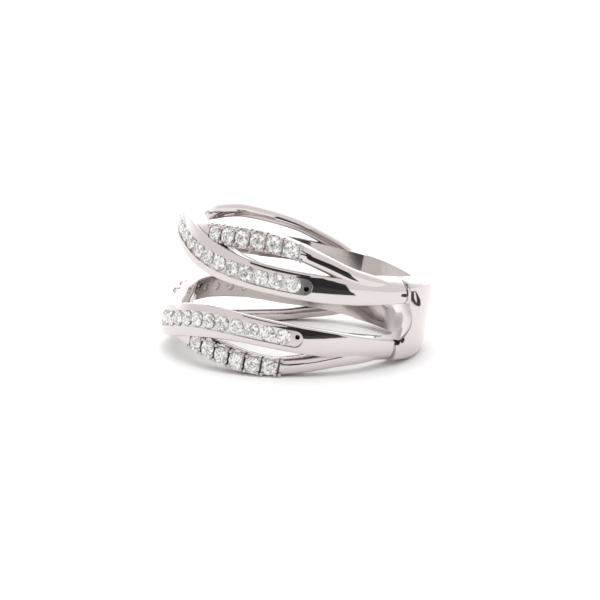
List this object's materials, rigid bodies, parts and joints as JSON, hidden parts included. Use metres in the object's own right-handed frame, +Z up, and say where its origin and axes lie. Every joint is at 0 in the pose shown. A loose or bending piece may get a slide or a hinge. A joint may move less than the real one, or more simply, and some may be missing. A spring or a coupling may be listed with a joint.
{
  "type": "ring enhancer",
  "caption": "White gold ring guard: crossover bands of channel-set and claw-set stones, joined at the back, with a gap between them for another ring.",
  "frame": {"origin": "middle of the ring's box, on the floor that the ring lies on", "axes": "+Z up from the floor; -X towards the crossovers at the front and +X towards the bridge; the finger bore's axis leans about 10 degrees from +Z towards +X, as the ring rests by itself"},
  "size_m": [0.0216, 0.0206, 0.0113],
  "materials": {
    "white_gold": "mirror polished",
    "stone": "clear, faceted"
  },
  "bodies": {
    "root": {"ring_body": "white_gold", "upper_channel_stones": "stone", "upper_claw_stones": "stone", "lower_channel_stones": "stone", "lower_claw_stones": "stone"}
  },
  "joints": []
}
